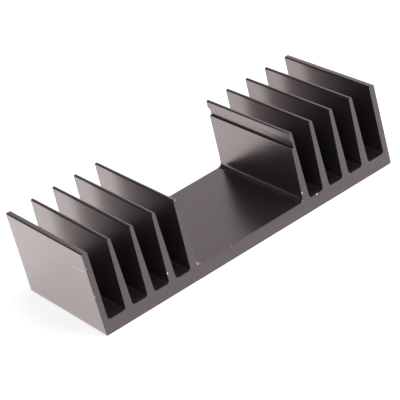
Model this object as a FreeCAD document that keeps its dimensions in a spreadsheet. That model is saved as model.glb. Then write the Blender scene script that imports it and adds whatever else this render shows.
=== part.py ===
# Black anodised aluminium heat sink, a finned section that is extruded and sawn to length.
# Millimetres. +X runs across the fins, +Y along the extrusion and +Z up from the mounting face.
# The origin is the middle of the mounting face. One half of the section is modelled and mirrored.

import FreeCAD, Part
import os
import Sketcher

NODE = "heat_sink"
SMALL = 0.001

# Driving dimensions, each with the alias that the sketches and features are bound to
SIZES = [
    ("section_width", 100.0, "over the outer faces of the two end fins"),
    ("section_height", 25.4, "from the mounting face to the fin tips"),
    ("cut_length", 38.1, "along the extrusion, between the two saw cuts"),
    ("base_thickness", 4.1, "of the plate that carries the fins"),
    ("base_corner_radius", 0.5, "on the two long lower corners"),
    ("end_fin_thickness", 1.75, "of the upright fin at each end of the section"),
    ("end_slot_width", 5.77, "between an end fin and the next fin, at the base"),
    ("fins_per_bank", 4, "tapered fins between an end fin and the device channel"),
    ("fin_pitch", 7.21, "between the middles of two tapered fins"),
    ("fin_root_thickness", 2.28, "of a tapered fin at the base"),
    ("fin_tip_thickness", 1.03, "of a tapered fin at its tip"),
    ("fin_tip_radius", 0.42, "on the long edges of every fin tip"),
    ("slot_root_radius", 1.0, "where a fin meets the floor of a slot"),
    ("channel_root_radius", 1.5, "where the innermost fin meets the floor of the channel"),
    ("groove_lip_height", 2.35, "of the lip between the clip groove and the fin tip"),
    ("groove_flank_height", 0.6, "of the sloping flank under that lip"),
    ("groove_wall_height", 1.73, "of the upright wall between the flank and the flat ledge"),
    ("groove_depth", 0.63, "from the fin's face to the wall, along the ledge"),
]

# Places that follow from the driving dimensions, as distances from the middle of the section
HALF_WIDTH = "Sizes.section_width / 2"
END_FIN_INNER_FACE = "(Sizes.section_width / 2 - Sizes.end_fin_thickness)"
FIRST_FIN = END_FIN_INNER_FACE + " - Sizes.end_slot_width - Sizes.fin_root_thickness / 2"
LAST_FIN = FIRST_FIN + " - (Sizes.fins_per_bank - 1) * Sizes.fin_pitch"
CHANNEL_FOOT = LAST_FIN + " - Sizes.fin_root_thickness / 2"
FIN_HEIGHT = "(Sizes.section_height - Sizes.base_thickness)"
FLANK_SLOPE = "(Sizes.fin_root_thickness - Sizes.fin_tip_thickness) / 2 / " + FIN_HEIGHT
GROOVE_TOP = "(Sizes.section_height - Sizes.groove_lip_height)"
GROOVE_WALL_TOP = "(" + GROOVE_TOP + " - Sizes.groove_flank_height)"
GROOVE_LEDGE = "(" + GROOVE_WALL_TOP + " - Sizes.groove_wall_height)"

# Fillets, which a thin fin or a narrow slot may limit
MOST_OF_HALF = "0.45"
SLOT_WIDTH = "min(Sizes.fin_pitch - Sizes.fin_root_thickness; Sizes.end_slot_width)"
SLOT_RADIUS = "min(Sizes.slot_root_radius; " + MOST_OF_HALF + " * " + SLOT_WIDTH + ")"
TIP_WIDTH = "min(Sizes.fin_tip_thickness; Sizes.end_fin_thickness)"
TIP_RADIUS = "min(Sizes.fin_tip_radius; " + MOST_OF_HALF + " * " + TIP_WIDTH + ")"


def last_fin_face(height):
    """Distance from the middle of the section to the channel face of the innermost fin at a height."""
    half_tip = "Sizes.fin_tip_thickness / 2"
    below_tip = "(Sizes.section_height - " + height + ")"
    return LAST_FIN + " - " + half_tip + " - " + FLANK_SLOPE + " * " + below_tip


doc = FreeCAD.newDocument(NODE)
sheet = doc.addObject("Spreadsheet::Sheet", "Sizes")
for row, (alias, number, note) in enumerate(SIZES, 1):
    sheet.set("A" + str(row), alias)
    sheet.set("B" + str(row), str(number))
    sheet.setAlias("B" + str(row), alias)
    sheet.set("C" + str(row), note)
doc.recompute()

body = doc.addObject("PartDesign::Body", "HeatSink")
body.Label = NODE


def value(expression):
    """Number that an expression over the sheet gives."""
    result = sheet.evalExpression(expression.replace("Sizes.", ""))
    return float(getattr(result, "Value", result))


def origin_feature(role):
    """One of the body's own origin planes or axes."""
    return [item for item in body.Origin.OriginFeatures if item.Role == role][0]


def section_sketch(name, corners):
    """Closed outline in the plane of the section: line N runs from corner N to the next one."""
    sketch = body.newObject("Sketcher::SketchObject", name)
    sketch.AttachmentSupport = [(origin_feature("XZ_Plane"), "")]
    sketch.MapMode = "FlatFace"
    points = [FreeCAD.Vector(across, up, 0) for across, up in corners]
    for start, end in zip(points, points[1:] + points[:1]):
        sketch.addGeometry(Part.LineSegment(start, end))
    for line in range(len(points)):
        sketch.addConstraint(Sketcher.Constraint("Coincident", line, 2, (line + 1) % len(points), 1))
    return sketch


def dimension(sketch, name, constraint, expression):
    """Adds a constraint that carries a size, and binds it to the sheet."""
    index = sketch.addConstraint(constraint)
    sketch.renameConstraint(index, name)
    sketch.setExpression("Constraints." + name, expression)


def from_middle(sketch, name, corner, expression):
    """Places a corner on the left half by its distance from the middle of the section."""
    constraint = Sketcher.Constraint("DistanceX", corner, 1, -1, 1, value(expression))
    dimension(sketch, name, constraint, expression)


def from_mounting_face(sketch, name, corner, expression):
    """Places a corner by its height above the mounting face."""
    constraint = Sketcher.Constraint("DistanceY", -1, 1, corner, 1, value(expression))
    dimension(sketch, name, constraint, expression)


def extruded(kind, name, sketch):
    """Pad or Pocket of a section sketch over the cut length, half to each side of the plane."""
    feature = body.newObject(kind, name)
    feature.Profile = sketch
    feature.SideType = "Symmetric"
    feature.setExpression("Length", "Sizes.cut_length")
    doc.recompute()
    return feature


def half_base():
    """Left half of the base plate."""
    half_width = value(HALF_WIDTH)
    top = value("Sizes.base_thickness")
    corners = [(-half_width, 0), (0, 0), (0, top), (-half_width, top)]
    sketch = section_sketch("BaseSection", corners)
    sketch.addConstraint(Sketcher.Constraint("Coincident", 1, 1, -1, 1))
    for line in (0, 2):
        sketch.addConstraint(Sketcher.Constraint("Horizontal", line))
    for line in (1, 3):
        sketch.addConstraint(Sketcher.Constraint("Vertical", line))
    from_middle(sketch, "half_width", 3, HALF_WIDTH)
    from_mounting_face(sketch, "thickness", 2, "Sizes.base_thickness")
    return extruded("PartDesign::Pad", "Base", sketch)


def end_fin():
    """Upright fin of even thickness, flush with the end of the base plate."""
    outer = value(HALF_WIDTH)
    inner = value(END_FIN_INNER_FACE)
    tip = value("Sizes.section_height")
    corners = [(-outer, 0), (-inner, 0), (-inner, tip), (-outer, tip)]
    sketch = section_sketch("EndFinSection", corners)
    sketch.addConstraint(Sketcher.Constraint("PointOnObject", 0, 1, -1))
    for line in (0, 2):
        sketch.addConstraint(Sketcher.Constraint("Horizontal", line))
    for line in (1, 3):
        sketch.addConstraint(Sketcher.Constraint("Vertical", line))
    from_middle(sketch, "outer_face", 0, HALF_WIDTH)
    from_middle(sketch, "inner_face", 1, END_FIN_INNER_FACE)
    from_mounting_face(sketch, "tip", 2, "Sizes.section_height")
    return extruded("PartDesign::Pad", "EndFin", sketch)


def tapered_fin():
    """First tapered fin beside the end slot, drawn about an upright centre line."""
    centre = value(FIRST_FIN)
    half_root = value("Sizes.fin_root_thickness / 2")
    half_tip = value("Sizes.fin_tip_thickness / 2")
    floor = value("Sizes.base_thickness")
    tip = value("Sizes.section_height")
    corners = [
        (-centre - half_root, floor),
        (-centre + half_root, floor),
        (-centre + half_tip, tip),
        (-centre - half_tip, tip),
    ]
    sketch = section_sketch("FinSection", corners)
    foot = FreeCAD.Vector(-centre, floor, 0)
    crown = FreeCAD.Vector(-centre, tip, 0)
    centre_line = sketch.addGeometry(Part.LineSegment(foot, crown), True)
    sketch.addConstraint(Sketcher.Constraint("Vertical", centre_line))
    sketch.addConstraint(Sketcher.Constraint("PointOnObject", centre_line, 1, 0))
    sketch.addConstraint(Sketcher.Constraint("PointOnObject", centre_line, 2, 2))
    sketch.addConstraint(Sketcher.Constraint("Symmetric", 0, 1, 1, 1, centre_line))
    sketch.addConstraint(Sketcher.Constraint("Symmetric", 3, 1, 2, 1, centre_line))
    from_middle(sketch, "centre", centre_line, FIRST_FIN)
    from_mounting_face(sketch, "foot", 0, "Sizes.base_thickness")
    from_mounting_face(sketch, "tip", 3, "Sizes.section_height")
    root_width = Sketcher.Constraint("DistanceX", 0, 1, 1, 1, 2 * half_root)
    dimension(sketch, "root", root_width, "Sizes.fin_root_thickness")
    tip_width = Sketcher.Constraint("DistanceX", 3, 1, 2, 1, 2 * half_tip)
    dimension(sketch, "crown", tip_width, "Sizes.fin_tip_thickness")
    return extruded("PartDesign::Pad", "Fin", sketch)


def fin_bank(fin):
    """The tapered fins of one bank, at an even pitch from the end of the section to the channel."""
    bank = body.newObject("PartDesign::LinearPattern", "FinBank")
    bank.Originals = [fin]
    bank.Direction = (origin_feature("X_Axis"), [""])
    bank.Mode = "Spacing"
    bank.setExpression("Offset", "Sizes.fin_pitch")
    bank.setExpression("Occurrences", "Sizes.fins_per_bank")
    body.Tip = bank
    doc.recompute()
    return bank


def clip_groove(bank):
    """Snap-in groove near the tip of the innermost fin: a flat ledge, a wall and a sloping flank."""
    wall = last_fin_face(GROOVE_LEDGE) + " + Sizes.groove_depth"
    lip = last_fin_face(GROOVE_TOP)
    open_side = last_fin_face(GROOVE_LEDGE) + " - Sizes.groove_depth"
    corners = [
        (-value(wall), value(GROOVE_LEDGE)),
        (-value(open_side), value(GROOVE_LEDGE)),
        (-value(open_side), value(GROOVE_TOP)),
        (-value(lip), value(GROOVE_TOP)),
        (-value(wall), value(GROOVE_WALL_TOP)),
    ]
    sketch = section_sketch("GrooveSection", corners)
    sketch.addConstraint(Sketcher.Constraint("Horizontal", 0))
    sketch.addConstraint(Sketcher.Constraint("Vertical", 1))
    sketch.addConstraint(Sketcher.Constraint("Horizontal", 2))
    sketch.addConstraint(Sketcher.Constraint("Vertical", 4))
    from_middle(sketch, "wall", 0, wall)
    from_middle(sketch, "open_side", 1, open_side)
    from_middle(sketch, "lip", 3, lip)
    from_mounting_face(sketch, "ledge", 0, GROOVE_LEDGE)
    from_mounting_face(sketch, "lip_height", 3, GROOVE_TOP)
    from_mounting_face(sketch, "wall_top", 4, GROOVE_WALL_TOP)
    groove = extruded("PartDesign::Pocket", "ClipGroove", sketch)
    if groove.Shape.Volume > bank.Shape.Volume - SMALL:
        raise RuntimeError("the clip groove cuts nothing")
    return groove


def edges_along(feature, height, leftmost, rightmost):
    """Names of the edges that run the whole cut length at one height, between two places across."""
    length = value("Sizes.cut_length")
    names = []
    for number, edge in enumerate(feature.Shape.Edges, 1):
        box = edge.BoundBox
        runs_through = box.YLength > length - SMALL
        at_height = abs(box.ZMin - height) < SMALL and abs(box.ZMax - height) < SMALL
        between = box.XMin > leftmost - SMALL and box.XMax < rightmost + SMALL
        if runs_through and at_height and between:
            names.append("Edge" + str(number))
    return names


def rounded(name, feature, edges, radius):
    """Fillet of the named edges of a feature, with its radius bound to the sheet."""
    fillet = body.newObject("PartDesign::Fillet", name)
    fillet.Base = (feature, edges)
    fillet.setExpression("Radius", radius)
    doc.recompute()
    return fillet


def section_fillets(feature):
    """Radii of the extrusion die: slot floors, channel floor, fin tips and the lower corner."""
    outer = -value(HALF_WIDTH)
    last_fin = -value(LAST_FIN)
    floor = value("Sizes.base_thickness")
    tip = value("Sizes.section_height")
    slots = edges_along(feature, floor, outer, last_fin)
    feature = rounded("SlotRoots", feature, slots, SLOT_RADIUS)
    channel = edges_along(feature, floor, last_fin, -value(CHANNEL_FOOT))
    feature = rounded("ChannelRoot", feature, channel, "Sizes.channel_root_radius")
    tips = edges_along(feature, tip, outer, 0)
    feature = rounded("FinTips", feature, tips, TIP_RADIUS)
    corner = edges_along(feature, 0, outer, outer)
    return rounded("BaseCorner", feature, corner, "Sizes.base_corner_radius")


def whole_section(feature):
    """The finished half and its mirror image about the middle of the device channel."""
    mirror = body.newObject("PartDesign::Mirrored", "WholeSection")
    mirror.MirrorPlane = (origin_feature("YZ_Plane"), [""])
    mirror.TransformMode = "Whole shape"
    mirror.Originals = []
    body.Tip = mirror
    doc.recompute()
    if abs(mirror.Shape.Volume - 2 * feature.Shape.Volume) > SMALL:
        raise RuntimeError("the mirror image is missing")
    return mirror


half_base()
end_fin()
half = section_fillets(clip_groove(fin_bank(tapered_fin())))
whole_section(half)
doc.recompute()

for item in doc.Objects:
    if "Invalid" in item.State or "Error" in item.State:
        raise RuntimeError(item.Name + " failed: " + str(item.State))
if body.Shape.isNull() or not body.Shape.isValid() or len(body.Shape.Solids) != 1:
    raise RuntimeError(NODE + " is not one valid solid")

os.makedirs("parts", exist_ok=True)
body.Shape.exportStep("parts/" + NODE + ".step")
box = body.Shape.BoundBox
print(NODE, "box", box.XMin, box.XMax, box.YMin, box.YMax, box.ZMin, box.ZMax)
print(NODE, "volume", body.Shape.Volume, "faces", len(body.Shape.Faces))
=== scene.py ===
import math

import bpy
import numpy as np
from mathutils import Matrix, Vector


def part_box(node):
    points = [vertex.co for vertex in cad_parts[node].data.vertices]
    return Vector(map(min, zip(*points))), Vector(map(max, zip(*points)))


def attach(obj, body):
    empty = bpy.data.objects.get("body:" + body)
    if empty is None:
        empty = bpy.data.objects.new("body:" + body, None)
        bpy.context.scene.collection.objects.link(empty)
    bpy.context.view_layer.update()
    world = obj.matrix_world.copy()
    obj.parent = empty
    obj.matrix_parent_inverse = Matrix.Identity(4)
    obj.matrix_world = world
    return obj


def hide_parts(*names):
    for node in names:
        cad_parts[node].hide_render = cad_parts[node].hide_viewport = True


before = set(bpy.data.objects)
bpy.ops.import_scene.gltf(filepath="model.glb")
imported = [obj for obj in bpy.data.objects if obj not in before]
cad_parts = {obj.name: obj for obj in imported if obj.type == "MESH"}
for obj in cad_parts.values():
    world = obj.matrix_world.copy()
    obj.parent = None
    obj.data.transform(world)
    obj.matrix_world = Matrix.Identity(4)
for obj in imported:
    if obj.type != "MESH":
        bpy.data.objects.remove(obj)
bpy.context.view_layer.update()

# The extruded bar.
# One length of aluminium pushed hot through a die, stretched straight, sawn to length and
# deburred. Its sizes are those of the solid, plus the small edge breaks that a solid leaves out.
low, high = (np.array(corner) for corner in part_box("heat_sink"))
half_width = high[0]
half_length = high[1]
tip_height = high[2]

base_thickness = 0.0041
base_corner_radius = 0.0005
end_fin_thickness = 0.00175
end_slot_width = 0.00577
fins_per_bank = 4
fin_pitch = 0.00721
fin_root_half = 0.00114
fin_tip_half = 0.000515
fin_tip_radius = 0.00042
slot_root_radius = 0.0010
channel_root_radius = 0.0015
groove_lip_height = 0.00235
groove_flank_height = 0.0006
groove_wall_height = 0.00173
groove_depth = 0.00063
groove_edge_radius = 0.00010
saw_edge_break = 0.00004

end_fin_inner = -half_width + end_fin_thickness
first_fin = end_fin_inner + end_slot_width + fin_root_half
fin_centres = first_fin + fin_pitch * np.arange(fins_per_bank)
groove_top = tip_height - groove_lip_height
groove_wall_top = groove_top - groove_flank_height
groove_ledge = groove_wall_top - groove_wall_height


def flank(centre, side, up):
    """Place across of a tapered fin's flank: its half thickness falls evenly from root to tip."""
    share = (tip_height - up) / (tip_height - base_thickness)
    return centre + side * (fin_tip_half + (fin_root_half - fin_tip_half) * share)


def channel_flank(up):
    """Flank of the innermost fin on the side of the device channel."""
    return flank(fin_centres[-1], 1, up)


def fin_corners(centre):
    """Corners of a tapered fin, from its right-hand root over the tip: across, up, radius."""
    return [
        (flank(centre, 1, base_thickness), base_thickness, slot_root_radius),
        (flank(centre, 1, tip_height), tip_height, fin_tip_radius),
        (flank(centre, -1, tip_height), tip_height, fin_tip_radius),
        (flank(centre, -1, base_thickness), base_thickness, slot_root_radius),
    ]


groove_wall = channel_flank(groove_ledge) - groove_depth
groove_corners = [
    (channel_flank(groove_ledge), groove_ledge, groove_edge_radius),
    (groove_wall, groove_ledge, groove_edge_radius),
    (groove_wall, groove_wall_top, groove_edge_radius),
    (channel_flank(groove_top), groove_top, groove_edge_radius),
]
innermost_fin = fin_corners(fin_centres[-1])
innermost_fin[0] = innermost_fin[0][:2] + (channel_root_radius,)
left_half = innermost_fin[:1] + groove_corners + innermost_fin[1:]
for centre in fin_centres[-2::-1]:
    left_half += fin_corners(centre)
left_half += [
    (end_fin_inner, base_thickness, slot_root_radius),
    (end_fin_inner, tip_height, fin_tip_radius),
    (-half_width, tip_height, fin_tip_radius),
    (-half_width, 0.0, base_corner_radius),
]
left_half = np.array(left_half)
right_half = left_half[::-1] * np.array([-1, 1, 1])
section_corners = np.vstack([left_half, right_half])

# Small dents where the sawn front edge was knocked: across, up, width and depth of each.
edge_dents = np.array([
    (-0.0500, 0.0208, 0.0007, 0.00012),
    (-0.0500, 0.0123, 0.0006, 0.00010),
    (-0.0280, 0.0070, 0.0005, 0.00010),
    (-0.0183, 0.0047, 0.0004, 0.00008),
    (-0.0071, 0.0041, 0.0004, 0.00004),
    (0.0186, 0.0066, 0.0008, 0.00014),
    (0.0183, 0.0043, 0.0004, 0.00005),
    (0.0235, 0.0041, 0.0007, 0.00012),
    (-0.0197, 0.0254, 0.0007, 0.00010),
])
# Extra points across each dent, as shares of its width to either side.
dent_offsets = np.linspace(-1, 1, 7)


def rounded_outline(corners, arc_steps, run_steps):
    """Closed outline with every corner rounded, and its outward normals.

    An arc turns evenly from one run's direction to the next about a centre on the corner's
    bisector. A run's points are closer together towards its ends, as half a cosine wave, with
    more of them at the dents.
    """
    point, radius = corners[:, :2], corners[:, 2:]
    back = np.roll(point, 1, axis=0) - point
    ahead = np.roll(point, -1, axis=0) - point
    back /= np.linalg.norm(back, axis=1, keepdims=True)
    ahead /= np.linalg.norm(ahead, axis=1, keepdims=True)
    half_angle = np.arccos(np.clip((back * ahead).sum(1, keepdims=True), -1, 1)) / 2
    bisector = (back + ahead) / np.linalg.norm(back + ahead, axis=1, keepdims=True)
    centre = point + bisector * radius / np.sin(half_angle)
    start = (point + back * radius / np.tan(half_angle) - centre) / radius
    end = (point + ahead * radius / np.tan(half_angle) - centre) / radius
    sweep = (np.pi - 2 * half_angle)[:, None]
    share = np.linspace(0, 1, arc_steps + 1)[None, :, None]
    spoke = np.sin((1 - share) * sweep) * start[:, None] + np.sin(share * sweep) * end[:, None]
    spoke /= np.sin(sweep)
    arcs = centre[:, None] + spoke * radius[:, None]
    turn = np.sign(back[:, 1] * ahead[:, 0] - back[:, 0] * ahead[:, 1])[:, None, None]
    arc_normals = spoke * turn

    even = 0.5 - 0.5 * np.cos(np.pi * np.arange(1, run_steps + 1) / (run_steps + 1))
    places, normals = [], []
    for index, (begin, finish) in enumerate(zip(arcs[:, -1], np.roll(arcs[:, 0], -1, axis=0))):
        along = finish - begin
        length = np.linalg.norm(along)
        along /= length
        beside = (edge_dents[:, :2] - begin) @ np.array([along[1], -along[0]])
        near = edge_dents[np.abs(beside) < edge_dents[:, 2]]
        extra = ((near[:, :2] - begin) @ along)[:, None] + near[:, 2:3] * dent_offsets
        extra = extra[(extra > 0) & (extra < length)] / length
        shares = np.union1d(even, extra)[:, None]
        places += [arcs[index], begin + shares * along * length]
        normals += [arc_normals[index], np.tile([along[1], -along[0]], (len(shares), 1))]
    return np.vstack(places), np.vstack(normals)


def sweep_rows(arc_steps, run_steps):
    """Rows of the sweep along Y: each one's place, and how far its outline is drawn in.

    A quarter circle rounds the sawn edge, then the rows open out from each end towards the
    middle, each a fixed number of times further from the end than the one before.
    """
    turn = np.linspace(0, np.pi / 2, arc_steps + 1)
    near_end = saw_edge_break * (1 - np.cos(turn))
    drawn_in = saw_edge_break * (1 - np.sin(turn))
    opening = np.geomspace(2 * saw_edge_break, half_length, run_steps)
    from_end = np.concatenate([near_end, opening])
    inset = np.concatenate([drawn_in, np.zeros(run_steps)])
    along = np.concatenate([from_end - half_length, (half_length - from_end)[-2::-1]])
    return along, np.concatenate([inset, inset[-2::-1]])


def bar_vertices(outline, normals, along, inset):
    """Rows of the outline along Y, each drawn in along its normals, with the dents pressed in.

    A dent is deepest at its middle. Its depth falls off as the square of one less the squared
    distance over the squared width.
    """
    across = outline[None] - inset[:, None, None] * normals[None]
    rows = np.empty((len(along), len(outline), 3))
    rows[..., 0] = across[..., 0]
    rows[..., 1] = along[:, None]
    rows[..., 2] = across[..., 1]
    for dent_x, dent_z, width, depth in edge_dents:
        gap = rows - np.array([dent_x, -half_length, dent_z])
        share = np.clip(1 - (gap ** 2).sum(-1) / width ** 2, 0, 1) ** 2
        rows[..., 0] -= depth * share * normals[:, 0]
        rows[..., 2] -= depth * share * normals[:, 1]
        rows[..., 1] += depth * share * (gap[..., 1] < saw_edge_break)
    return rows


outline, outline_normals = rounded_outline(section_corners, arc_steps=8, run_steps=12)
row_places, row_insets = sweep_rows(arc_steps=4, run_steps=14)
vertices = bar_vertices(outline, outline_normals, row_places, row_insets)

# Quads join each row to the next, and one flat face closes each sawn end.
row_count, ring_count = vertices.shape[:2]
ring = np.arange(ring_count)
after = np.roll(ring, -1)
first = (np.arange(row_count - 1) * ring_count)[:, None]
corner_indices = [first + ring, first + ring_count + ring, first + ring_count + after, first + after]
side_faces = np.stack(corner_indices, -1).reshape(-1, 4).tolist()
last_row = (row_count - 1) * ring_count
end_faces = [ring.tolist(), (last_row + ring[::-1]).tolist()]
bar_mesh = bpy.data.meshes.new("extruded_bar")
bar_mesh.from_pydata(vertices.reshape(-1, 3).tolist(), [], side_faces + end_faces)
on_end = [False] * len(side_faces) + [True] * len(end_faces)
bar_mesh.polygons.foreach_set("use_smooth", [not flat for flat in on_end])
bar_mesh.polygons.foreach_set("material_index", [int(flat) for flat in on_end])
bar_mesh.update()
bar = bpy.data.objects.new("extruded_bar", bar_mesh)
bpy.context.scene.collection.objects.link(bar)
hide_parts("heat_sink")
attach(bar, "root")

# The black anodising.
# The bar is etched matt, anodised in acid, dyed black and sealed in hot water. The film is hard
# and a little glossy, follows the fine die lines, and is knocked through on a few sharp edges.
film_colour = (0.0160, 0.0157, 0.0160, 1)
film_colour_pale = (0.0195, 0.0191, 0.0195, 1)
skin_tint = (1.0, 0.70, 0.71, 1)
sawn_tint = (1.0, 0.76, 0.81, 1)
coat_tint = (1.0, 0.90, 0.90, 1)
bare_metal = (0.80, 0.78, 0.77, 1)

# The middle of a noise's values, which is stretched over the whole of what it drives.
noise_low, noise_high = 0.3, 0.7
noise_detail = 3.0
line_detail = 2.0
cloud_scale = (110.0, 60.0, 110.0)
line_share, cloud_share = 0.4, 0.6

# Bare specks: across, along, up and radius of each.
bare_specks = (
    (-0.02797, -0.01900, 0.0070, 0.00036),
    (-0.0183, -0.01905, 0.0047, 0.00030),
    (-0.0071, -0.01905, 0.0041, 0.00017),
    (0.0186, -0.01905, 0.0067, 0.00046),
    (0.0182, -0.01905, 0.0046, 0.00017),
    (0.0235, -0.01900, 0.00415, 0.00044),
    (-0.0500, -0.01905, 0.0208, 0.00030),
    (-0.0500, -0.01905, 0.0123, 0.00026),
    (-0.0197, -0.01905, 0.0254, 0.00030),
)
speck_core = 0.6
ragged_scale = (5000.0, 5000.0, 5000.0)
ragged_reach = 0.00012

# The light scratch on the left end fin: a shallow arc in the plane of that face.
scratch_centre = (-0.0500, -0.0143, 0.0291)
scratch_radius = 0.0098
scratch_start, scratch_end = -0.0186, -0.0110
scratch_fade_in, scratch_fade_out = 0.001, 0.002
scratch_width = 0.00030
scratch_core = 0.2
scratch_strength = 0.34
skin_of_face = (scratch_centre[0] + 0.0001, scratch_centre[0] + 0.0003)

# Sockets of a Mix node that mixes colours.
colour_a, colour_b, mixed_colour = 6, 7, 2


def node(tree, kind, **settings):
    """New node with its properties and its inputs set by name."""
    made = tree.nodes.new(kind)
    for name, setting in settings.items():
        if hasattr(made, name):
            setattr(made, name, setting)
        else:
            made.inputs[name.replace("_", " ")].default_value = setting
    return made


def joined(tree, operation, first, second=0.0):
    """Math node on two outputs, or on an output and a number; gives its output."""
    made = node(tree, "ShaderNodeMath", operation=operation)
    tree.links.new(first, made.inputs[0])
    if isinstance(second, (int, float)):
        made.inputs[1].default_value = second
    else:
        tree.links.new(second, made.inputs[1])
    return made.outputs["Value"]


def ramped(tree, value, from_low, from_high, to_low, to_high):
    """Map Range node on an output, straight and clamped; gives its output."""
    made = node(tree, "ShaderNodeMapRange", From_Min=from_low, From_Max=from_high,
                To_Min=to_low, To_Max=to_high)
    tree.links.new(value, made.inputs["Value"])
    return made.outputs["Result"]


def stretched_noise(tree, place, scale, detail):
    """Noise on Object coordinates, with its own scale along each axis; gives its value."""
    mapping = node(tree, "ShaderNodeMapping", Scale=scale)
    tree.links.new(place, mapping.inputs["Vector"])
    noise = node(tree, "ShaderNodeTexNoise", Scale=1.0, Detail=detail)
    tree.links.new(mapping.outputs["Vector"], noise.inputs["Vector"])
    return noise.outputs["Fac"]


def distance_from(tree, place, centre):
    """Distance of each point of the surface from a fixed point."""
    apart = node(tree, "ShaderNodeVectorMath", operation="DISTANCE")
    tree.links.new(place, apart.inputs[0])
    apart.inputs[1].default_value = centre
    return apart.outputs["Value"]


def bare_mask(tree, place, ragged):
    """Where the film is gone: inside a ragged ball about each speck, and along the scratch.

    The scratch lies where the distance from its centre, in the plane of the face, is its radius.
    """
    axes = tree.nodes.new("ShaderNodeSeparateXYZ")
    tree.links.new(place, axes.inputs["Vector"])
    off_line = joined(tree, "SUBTRACT", distance_from(tree, place, scratch_centre), scratch_radius)
    beside = joined(tree, "ADD", joined(tree, "ABSOLUTE", off_line), ragged)
    line = ramped(tree, beside, scratch_core * scratch_width, scratch_width, scratch_strength, 0.0)
    limits = (
        ramped(tree, axes.outputs["Y"], scratch_start, scratch_start + scratch_fade_in, 0.0, 1.0),
        ramped(tree, axes.outputs["Y"], scratch_end - scratch_fade_out, scratch_end, 1.0, 0.0),
        ramped(tree, axes.outputs["X"], *skin_of_face, 1.0, 0.0),
    )
    for limit in limits:
        line = joined(tree, "MULTIPLY", line, limit)
    mask = line
    for across, along, up, radius in bare_specks:
        near = joined(tree, "ADD", distance_from(tree, place, (across, along, up)), ragged)
        speck = ramped(tree, near, speck_core * radius, radius, 1.0, 0.0)
        mask = joined(tree, "MAXIMUM", mask, speck)
    return mask


def finish_material(name, ior, tint, roughness, coat, line_scale, line_height, grain_scale, grain_height):
    """Anodised finish: gloss from die or saw lines and clouding, fine grain, and bare metal.

    Roughness is a low and a high value. Coat is the weight, roughness and IOR of the sealed skin.
    """
    material = bpy.data.materials.new(name)
    material.use_nodes = True
    tree = material.node_tree
    shader = tree.nodes["Principled BSDF"]
    coat_weight, coat_roughness, coat_ior = coat
    shader.inputs["IOR"].default_value = ior
    shader.inputs["Specular Tint"].default_value = tint
    shader.inputs["Coat Roughness"].default_value = coat_roughness
    shader.inputs["Coat IOR"].default_value = coat_ior
    shader.inputs["Coat Tint"].default_value = coat_tint

    place = tree.nodes.new("ShaderNodeTexCoord").outputs["Object"]
    lines = stretched_noise(tree, place, line_scale, line_detail)
    grain = stretched_noise(tree, place, (grain_scale,) * 3, noise_detail)
    cloud = stretched_noise(tree, place, cloud_scale, noise_detail)
    torn = stretched_noise(tree, place, ragged_scale, line_detail)
    ragged = ramped(tree, torn, noise_low, noise_high, -ragged_reach, ragged_reach)
    bare = bare_mask(tree, place, ragged)

    film = node(tree, "ShaderNodeMix", data_type="RGBA")
    film.inputs[colour_a].default_value = film_colour
    film.inputs[colour_b].default_value = film_colour_pale
    tree.links.new(cloud, film.inputs["Factor"])
    colour = node(tree, "ShaderNodeMix", data_type="RGBA")
    colour.inputs[colour_b].default_value = bare_metal
    tree.links.new(film.outputs[mixed_colour], colour.inputs[colour_a])
    tree.links.new(bare, colour.inputs["Factor"])
    tree.links.new(colour.outputs[mixed_colour], shader.inputs["Base Color"])
    tree.links.new(bare, shader.inputs["Metallic"])
    tree.links.new(ramped(tree, bare, 0.0, 1.0, coat_weight, 0.0), shader.inputs["Coat Weight"])

    uneven = joined(tree, "ADD", joined(tree, "MULTIPLY", lines, line_share),
                    joined(tree, "MULTIPLY", cloud, cloud_share))
    rough = ramped(tree, uneven, noise_low, noise_high, *roughness)
    tree.links.new(rough, shader.inputs["Roughness"])

    height = joined(tree, "ADD", joined(tree, "MULTIPLY", lines, line_height),
                    joined(tree, "MULTIPLY", grain, grain_height))
    relief = node(tree, "ShaderNodeBump", Strength=1.0, Distance=1.0)
    tree.links.new(height, relief.inputs["Height"])
    tree.links.new(relief.outputs["Normal"], shader.inputs["Normal"])
    tree.links.new(relief.outputs["Normal"], shader.inputs["Coat Normal"])
    return material


skin = finish_material(
    "anodised_skin", ior=1.72, tint=skin_tint, roughness=(0.28, 0.31), coat=(1.0, 0.28, 1.46),
    line_scale=(1300.0, 14.0, 1300.0), line_height=0.0000008, grain_scale=7000.0, grain_height=0.0000002)
sawn = finish_material(
    "anodised_saw_cut", ior=1.54, tint=sawn_tint, roughness=(0.34, 0.44), coat=(0.7, 0.34, 1.47),
    line_scale=(300.0, 300.0, 1800.0), line_height=0.0000040, grain_scale=5000.0, grain_height=0.0000010)
bar_mesh.materials.append(skin)
bar_mesh.materials.append(sawn)

# The floor.
# A plain pale sheet, larger than any view of the part. It glows a little for the camera and for
# reflections, so that it looks white there, and still keeps the part's soft shadow. From below it
# is open, so that the flat mounting face can be looked at.
floor_reach = 4.0
floor_height = -0.0002
floor_colour = (0.85, 0.85, 0.85, 1)
floor_glow = 0.55
mirrored_glow = 1.0
floor_corners = [(across * floor_reach, along * floor_reach, floor_height)
                 for across, along in ((-1, -1), (1, -1), (1, 1), (-1, 1))]
floor_mesh = bpy.data.meshes.new("floor")
floor_mesh.from_pydata(floor_corners, [], [(0, 1, 2, 3)])
floor = bpy.data.objects.new("floor", floor_mesh)
bpy.context.scene.collection.objects.link(floor)
floor_material = bpy.data.materials.new("pale_floor")
floor_material.use_nodes = True
floor_tree = floor_material.node_tree
paint = floor_tree.nodes["Principled BSDF"]
paint.inputs["Base Color"].default_value = floor_colour
paint.inputs["Roughness"].default_value = 1.0
paint.inputs["IOR"].default_value = 1.0
paint.inputs["Emission Color"].default_value = (1, 1, 1, 1)
kind_of_ray = floor_tree.nodes.new("ShaderNodeLightPath")
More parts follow.
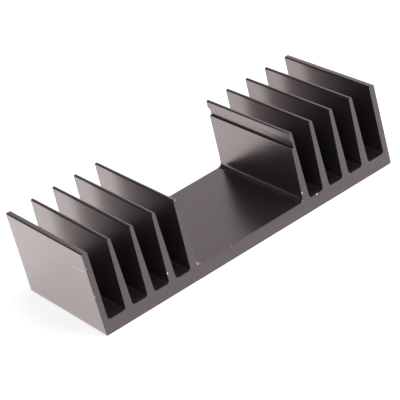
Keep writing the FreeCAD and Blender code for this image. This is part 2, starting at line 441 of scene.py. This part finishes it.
mirrored = joined(floor_tree, "MAXIMUM", kind_of_ray.outputs["Is Glossy Ray"],
                  kind_of_ray.outputs["Is Transmission Ray"])
seen = joined(floor_tree, "MULTIPLY", kind_of_ray.outputs["Is Camera Ray"], floor_glow)
glow = joined(floor_tree, "MAXIMUM", seen, joined(floor_tree, "MULTIPLY", mirrored, mirrored_glow))
floor_tree.links.new(glow, paint.inputs["Emission Strength"])
from_below = floor_tree.nodes.new("ShaderNodeNewGeometry").outputs["Backfacing"]
open_side = floor_tree.nodes.new("ShaderNodeBsdfTransparent")
one_sided = floor_tree.nodes.new("ShaderNodeMixShader")
floor_tree.links.new(from_below, one_sided.inputs["Fac"])
floor_tree.links.new(paint.outputs["BSDF"], one_sided.inputs[1])
floor_tree.links.new(open_side.outputs["BSDF"], one_sided.inputs[2])
floor_tree.links.new(one_sided.outputs["Shader"], floor_tree.nodes["Material Output"].inputs["Surface"])
floor_mesh.materials.append(floor_material)

# The light.
# A dim plain room with a pale band all round at floor level and a pale wall behind on the right.
# Two large soft boxes at the front light the part, the stronger one from the right.
room_level = 0.08
wall_level = 1.0
wall_direction = (0.676, 0.737, 0.0)
wall_edge, wall_full = 0.67, 0.93
band_level = 1.0
band_height = 0.10
soft_box_size = 1.5
world = bpy.data.worlds.new("studio")
bpy.context.scene.world = world
world.use_nodes = True
room = world.node_tree
direction = room.nodes.new("ShaderNodeTexCoord").outputs["Generated"]
facing = node(room, "ShaderNodeVectorMath", operation="DOT_PRODUCT")
facing.inputs[1].default_value = wall_direction
room.links.new(direction, facing.inputs[0])
wall = node(room, "ShaderNodeMapRange", interpolation_type="SMOOTHSTEP",
            From_Min=wall_edge, From_Max=wall_full, To_Min=room_level, To_Max=wall_level)
room.links.new(facing.outputs["Value"], wall.inputs["Value"])
room_axes = room.nodes.new("ShaderNodeSeparateXYZ")
room.links.new(direction, room_axes.inputs["Vector"])
band = node(room, "ShaderNodeMapRange", interpolation_type="SMOOTHSTEP",
            From_Min=0.0, From_Max=band_height, To_Min=1.0, To_Max=0.0)
room.links.new(room_axes.outputs["Z"], band.inputs["Value"])
level = node(room, "ShaderNodeMix", data_type="FLOAT")
room.links.new(band.outputs["Result"], level.inputs["Factor"])
room.links.new(wall.outputs["Result"], level.inputs["A"])
level.inputs["B"].default_value = band_level
room.links.new(level.outputs["Result"], room.nodes["Background"].inputs["Strength"])
room.nodes["Background"].inputs["Color"].default_value = (1, 1, 1, 1)


def soft_box(name, place, power):
    """Square area lamp at a place, turned to face the part."""
    lamp = bpy.data.lights.new(name, "AREA")
    lamp.size = soft_box_size
    lamp.energy = power
    made = bpy.data.objects.new(name, lamp)
    made.location = place
    made.rotation_euler = (-Vector(place)).to_track_quat("-Z", "Y").to_euler()
    bpy.context.scene.collection.objects.link(made)


soft_box("key", place=(0.9, -0.8, 1.2), power=29.0)
soft_box("fill", place=(-0.8, -0.9, 1.2), power=16.0)

# The camera.
# It looks down on the part from the front left, and is rolled as the photograph is. Its place and
# lens make the part's straight edges fall where the photograph has them.
camera_place = Vector((-0.23221, -0.41516, 0.26815))
camera_aim = Vector((-0.00218, -0.00048, 0.00998))
camera_roll = math.radians(15.607)
camera_lens = 176.61
sensor_width = 36.0
camera_data = bpy.data.cameras.new("camera")
camera_data.lens = camera_lens
camera_data.sensor_width = sensor_width
camera = bpy.data.objects.new("camera", camera_data)
turned = (camera_aim - camera_place).to_track_quat("-Z", "Y").to_matrix().to_4x4()
camera.matrix_world = Matrix.Translation(camera_place) @ turned @ Matrix.Rotation(-camera_roll, 4, "Z")
bpy.context.scene.collection.objects.link(camera)
bpy.context.scene.camera = camera
bpy.context.scene.view_settings.view_transform = "Standard"
